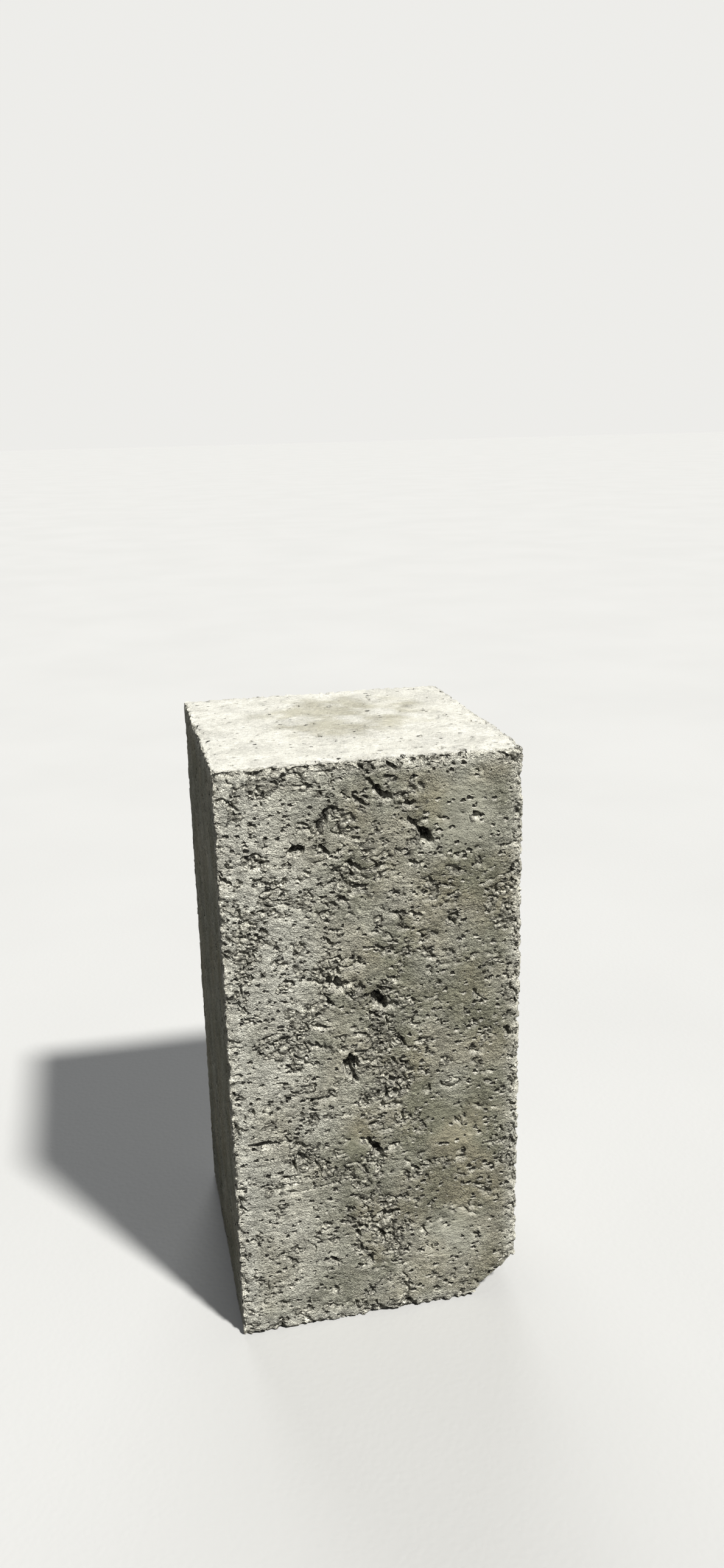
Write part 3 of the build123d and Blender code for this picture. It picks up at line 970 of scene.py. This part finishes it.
def startMaterial(name):
    material = bpy.data.materials.new(name)
    material.use_nodes = True
    tree = material.node_tree
    place = addNode(tree, "ShaderNodeTexCoord").outputs["Object"]
    return material, tree, tree.nodes["Principled BSDF"], place


concreteLook = {
    "coolPaste": (0.238, 0.239, 0.180, 1),
    "warmPaste": (0.310, 0.293, 0.215, 1),
    "greyDust": (0.662, 0.664, 0.593, 1),
    "tornSkin": (0.665, 0.652, 0.553, 1),
    # pale dust on rubbed arrises and pit rims, and painted highlight on pit rims and up-facing ledges
    "paleDustAndHighlight": (0.760, 0.747, 0.652, 1),
    "topDust": (0.555, 0.551, 0.505, 1),
    "topStain": (0.375, 0.364, 0.298, 1),
    # painted shade, laid in hollows, crevices, creases and under the upper lips of pits
    "paintedShade": (0.022, 0.021, 0.017, 1),
    "darkSand": (0.080, 0.076, 0.062, 1),
    "roughness": (0.86, 0.97),
    "specular": 0.12,
    # how fully each thing covers what lies below it
    "dustCover": 0.9,
    "tornCover": 0.55,
    "rubCover": (0.30, 0.82),  # on the arrises, outside the clouds and in them
    "stainCover": (1.0, 0.12),  # where no dust lies, and under the most
    "wallShade": (0.92, 0.25),  # painted shade of a hollow: on its walls, and on its ledges
    # painted shade in crevices, painted highlight on ledges, pale dust and painted highlight on pit rims,
    # dark sand, painted shade in creases and painted shadow in pits
    "creviceCover": 0.92,
    "ledgeCover": 0.82,
    "rimCover": 0.9,
    "sandCover": 0.4,
    "creaseCover": 0.55,
    "pitCover": 0.96,
    # how many of each pattern lie in a metre
    "warmScale": 22.0,
    "stainScale": 40.0,
    "cloudScale": 60.0,
    "flakeScale": 260.0,
    "streakScale": 300.0,
    "pitScale": 300.0,
    "coarseScale": 420.0,
    "smallPitScale": 600.0,
    "sandScale": 1100.0,
    # how dark and how light the whole gets by it
    "cloudContrast": (0.88, 1.10),
    "streakContrast": (-0.06, 0.06),
    "flakeContrast": (-0.25, 0.20),
    # on smooth skin, and on rough or torn skin
    "sandContrast": (0.12, 0.21),
    "pitShare": (0.15, 0.24),
    "smallPitShare": (0.17, 0.32),
    "sandHeight": (0.20, 0.50),
    "coarseHeight": (0.15, 2.3),
    "streakHeight": (0.18, 0.60),
    "flakeHeight": (0.24, 2.4),
    "pitHeight": 2.4,
    "smallPitHeight": 1.8,
    "bump": 0.0014,  # metres, for a height of 1
}


def concretePattern(tree, place, mask):
    # What the colour and the bump share: soft patches, sand, pits and flakes on Object coordinates.
    look = concreteLook
    flat = stretched(tree, place, (0.6, 1, 1))  # draws a pattern out along x
    wide = stretched(tree, place, (0.85, 1, 1))  # and a little less
    still = ramp(tree, mask["crown"], 0.0, 1.0, 1.0, 0.2)  # the top has few pits

    def mottled(vector, scale, detail, low, high):
        settings = {"Scale": look[scale], "Detail": detail, "Low": low, "High": high}
        return useGroup(tree, "mottle", Vector=vector, **settings)["Mask"]

    def pitted(vector, scale, share):
        amount = times(tree, ramp(tree, mask["rough"], 0, 1, *look[share]), still)
        return useGroup(tree, "pits", Vector=vector, Scale=look[scale], Amount=amount)

    return {
        "warm": mottled(place, "warmScale", 5.0, 0.42, 0.60),
        "cloud": mottled(place, "cloudScale", 6.0, 0.30, 0.72),
        "streak": mottled(flat, "streakScale", 4.0, 0.35, 0.7),
        "stained": mottled(place, "stainScale", 8.0, 0.34, 0.62),
        "sand": useGroup(tree, "grain", Vector=place, Scale=look["sandScale"]),
        "coarse": useGroup(tree, "grain", Vector=wide, Scale=look["coarseScale"]),
        "pits": pitted(wide, "pitScale", "pitShare"),
        "smallPits": pitted(flat, "smallPitScale", "smallPitShare"),
        "flakes": useGroup(tree, "flakes", Vector=flat, Scale=look["flakeScale"])["Height"],
        "torn": ramp(tree, mask["opened"], 0.1, 0.9),
    }


def concreteColour(tree, mask, pattern):
    # Cool and warm paste in soft patches, then each thing laid over the last: dust, torn skin,
    # rubbed arrises, the stained top, painted shade in hollows and crevices, painted highlights on
    # up-facing ledges, pale dust with painted highlights on the lower rims of pits, dark sand, painted
    # shade in creases and painted shadow under the upper lips of pits. Sand, streaks and flakes then make
    # the whole lighter and darker.
    look = concreteLook
    torn, coarse, pits, small = (pattern[name] for name in ("torn", "coarse", "pits", "smallPits"))

    def laid(colour, name, share):
        return blend(tree, share, colour, look[name])

    colour = blend(tree, pattern["warm"], look["coolPaste"], look["warmPaste"])
    colour = laid(colour, "greyDust", times(tree, mask["dusty"], look["dustCover"]))
    colour = laid(colour, "tornSkin", times(tree, torn, look["tornCover"]))
    rubbed = times(tree, mask["worn"], ramp(tree, pattern["cloud"], 0.0, 0.8, *look["rubCover"]))
    colour = laid(colour, "paleDustAndHighlight", rubbed)
    showing = ramp(tree, mask["dusty"], 0.0, 1.0, *look["stainCover"])
    stained = times(tree, pattern["stained"], showing)
    top = blend(tree, stained, look["topDust"], look["topStain"])
    colour = blend(tree, mask["crown"], colour, top)
    # painted shade for hollows: most on walls, least on ledges that face up, full on the top
    shade = larger(tree, ramp(tree, mask["ledge"], 0.0, 1.0, *look["wallShade"]), mask["crown"])
    colour = laid(colour, "paintedShade", times(tree, ramp(tree, mask["hollow"], 0.5, 1.0), shade))
    # painted shade in the crevices between lumps and along cracks
    crevices = times(tree, mask["crevice"], times(tree, shade, look["creviceCover"]))
    colour = laid(colour, "paintedShade", crevices)
    # painted highlight on ledges that face up, but not on the top
    ledgeHighlights = times(tree, mask["ledge"], ramp(tree, mask["crown"], 0.0, 0.6, look["ledgeCover"], 0.0))
    # pale dust and painted highlight on the lower rims of pits
    rimDustAndHighlights = larger(tree, pits["RimDustAndHighlight"], times(tree, small["RimDustAndHighlight"], 0.7))
    colour = laid(colour, "paleDustAndHighlight", larger(tree, times(tree, rimDustAndHighlights, look["rimCover"]), ledgeHighlights))
    speck = ramp(tree, coarse["Grey"], 0.92, 1.0, 0.0, look["sandCover"])
    colour = laid(colour, "darkSand", times(tree, speck, ramp(tree, torn, 0, 1, 0.35, 1.0)))
    # painted shade in the creases between the coarse grains of torn skin
    creases = times(tree, torn, ramp(tree, coarse["Height"], 0.35, 0.60, 1.0, 0.0))
    colour = laid(colour, "paintedShade", times(tree, creases, look["creaseCover"]))
    # painted shadow under the upper lips of pits
    pitShadows = larger(tree, pits["Mask"], times(tree, small["Mask"], 0.8))
    colour = laid(colour, "paintedShade", times(tree, pitShadows, look["pitCover"]))

    contrast = ramp(tree, mask["rough"], 0, 1, *look["sandContrast"])
    sandy = times(tree, ramp(tree, pattern["sand"]["Grey"], 0, 1, -1, 1), contrast)
    value = plus(tree, ramp(tree, pattern["cloud"], 0, 1, *look["cloudContrast"]), sandy)
    value = plus(tree, value, ramp(tree, pattern["streak"], 0, 1, *look["streakContrast"]))
    flaky = times(tree, torn, ramp(tree, pattern["flakes"], 0, 1, *look["flakeContrast"]))
    value = plus(tree, value, flaky)
    grey = addNode(tree, "ShaderNodeCombineColor", None, Red=value, Green=value, Blue=value).outputs[0]
    return blend(tree, 1.0, colour, grey, "MULTIPLY")


def concreteHeight(tree, mask, pattern):
    # Each pattern's height, larger where the skin is rough or torn, added up.
    look = concreteLook
    rough, torn = mask["rough"], pattern["torn"]
    fine = larger(tree, torn, times(tree, rough, 0.6))
    height = times(tree, pattern["sand"]["Height"], ramp(tree, rough, 0, 1, *look["sandHeight"]))
    for part, where, name in (
        (pattern["coarse"]["Height"], torn, "coarseHeight"),
        (pattern["streak"], rough, "streakHeight"),
        (pattern["flakes"], fine, "flakeHeight"),
    ):
        height = plus(tree, height, times(tree, part, ramp(tree, where, 0, 1, *look[name])))
    height = plus(tree, height, times(tree, pattern["pits"]["Height"], look["pitHeight"]))
    return plus(tree, height, times(tree, pattern["smallPits"]["Height"], look["smallPitHeight"]))


def concreteMaterial():
    look = concreteLook
    material, tree, shader, place = startMaterial("dryCastConcrete")
    mask = {
        name: addNode(tree, "ShaderNodeAttribute", {"attribute_name": name}).outputs["Fac"]
        for name in ("opened", "hollow", "crevice", "ledge", "rough", "worn", "dusty", "crown")
    }
    pattern = concretePattern(tree, place, mask)
    tree.links.new(concreteColour(tree, mask, pattern), shader.inputs["Base Color"])
    roughness = ramp(tree, pattern["sand"]["Grey"], 0, 1, *look["roughness"])
    tree.links.new(roughness, shader.inputs["Roughness"])
    height = concreteHeight(tree, mask, pattern)
    bump = addNode(tree, "ShaderNodeBump", None, Height=height, Distance=look["bump"], Strength=1.0)
    tree.links.new(bump.outputs[0], shader.inputs["Normal"])
    shader.inputs["Specular IOR Level"].default_value = look["specular"]
    return material


blockMesh.materials.clear()
blockMesh.materials.append(concreteMaterial())
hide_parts("concrete_block")
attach(block, "root")
print("block finished")


# Floor, lamps and world

studio = {
    "floorHalf": 30.0,  # metres
    "floorColour": (0.481, 0.487, 0.486, 1),  # as the camera sees it
    "floorShade": (0.12, 0.117, 0.110, 1),  # as it lights the block from below
    "floorClouds": 0.05,
    "floorRoughness": 0.9,
    "backdrop": (0.85, 0.845, 0.82, 1),
    "fill": (0.92, 0.96, 1.0, 1),
    "fillStrength": 0.10,
    # lamps: the way to each, its strength, its spread in degrees and its colour. The key's way is
    # read from the photograph's shadows.
    "lamps": {
        "key": ((0.31, -0.50, 0.81), 5.7, 5.0, (1.0, 0.975, 0.93)),
        "backLight": ((0.05, 0.88, 0.47), 1.9, 40.0, (1.0, 1.0, 1.0)),
    },
}


def showsBackdrop(tree):
    # 1 for rays that come from the camera, off a gloss or through glass
    path = addNode(tree, "ShaderNodeLightPath").outputs
    seen = larger(tree, path["Is Camera Ray"], path["Is Glossy Ray"])
    return larger(tree, seen, path["Is Transmission Ray"])


def floorMaterial():
    material, tree, shader, place = startMaterial("studioFloor")
    cloud = useGroup(tree, "mottle", Vector=place, Scale=3.0, Detail=3.0, Low=0.2, High=0.8)["Mask"]
    clouded = times(tree, cloud, studio["floorClouds"])
    seen = blend(tree, clouded, studio["floorColour"], studio["floorShade"])
    colour = blend(tree, showsBackdrop(tree), studio["floorShade"], seen)
    tree.links.new(colour, shader.inputs["Base Color"])
    fine = useGroup(tree, "grain", Vector=place, Scale=240.0)["Height"]
    bump = addNode(tree, "ShaderNodeBump", None, Height=fine, Distance=0.0001)
    tree.links.new(bump.outputs[0], shader.inputs["Normal"])
    shader.inputs["Roughness"].default_value = studio["floorRoughness"]
    shader.inputs["Specular IOR Level"].default_value = 0.0
    return material


def makeFloor():
    side = np.array((-studio["floorHalf"], studio["floorHalf"]))
    x, y = np.meshgrid(side, side, indexing="ij")
    corners = np.stack([x, y, 0 * x], axis=-1).reshape(-1, 3)
    mesh = bpy.data.meshes.new("floor")
    mesh.from_pydata(corners.tolist(), [], [(0, 2, 3, 1)])
    mesh.materials.append(floorMaterial())
    floor = bpy.data.objects.new("floor", mesh)
    bpy.context.scene.collection.objects.link(floor)


def makeLamps():
    for name, (way, strength, spread, colour) in studio["lamps"].items():
        lamp = bpy.data.lights.new(name, "SUN")
        lamp.energy = strength
        lamp.angle = math.radians(spread)
        lamp.color = colour
        made = bpy.data.objects.new(name, lamp)
        made.matrix_world = Vector(way).to_track_quat("Z", "Y").to_matrix().to_4x4()
        bpy.context.scene.collection.objects.link(made)


def makeWorld():
    world = bpy.data.worlds.new("studio")
    world.use_nodes = True
    tree = world.node_tree
    fill = tree.nodes["Background"]
    fill.inputs["Color"].default_value = studio["fill"]
    fill.inputs["Strength"].default_value = studio["fillStrength"]
    back = addNode(tree, "ShaderNodeBackground", None, Color=studio["backdrop"], Strength=1.0)
    ways = {"input0": showsBackdrop(tree), "input1": fill.outputs[0], "input2": back.outputs[0]}
    mixed = addNode(tree, "ShaderNodeMixShader", None, **ways)
    tree.links.new(mixed.outputs[0], tree.nodes["World Output"].inputs["Surface"])
    bpy.context.scene.world = world


makeFloor()
makeLamps()
makeWorld()
bpy.context.scene.view_settings.view_transform = "Standard"
print("studio ready")
print("studio ready")
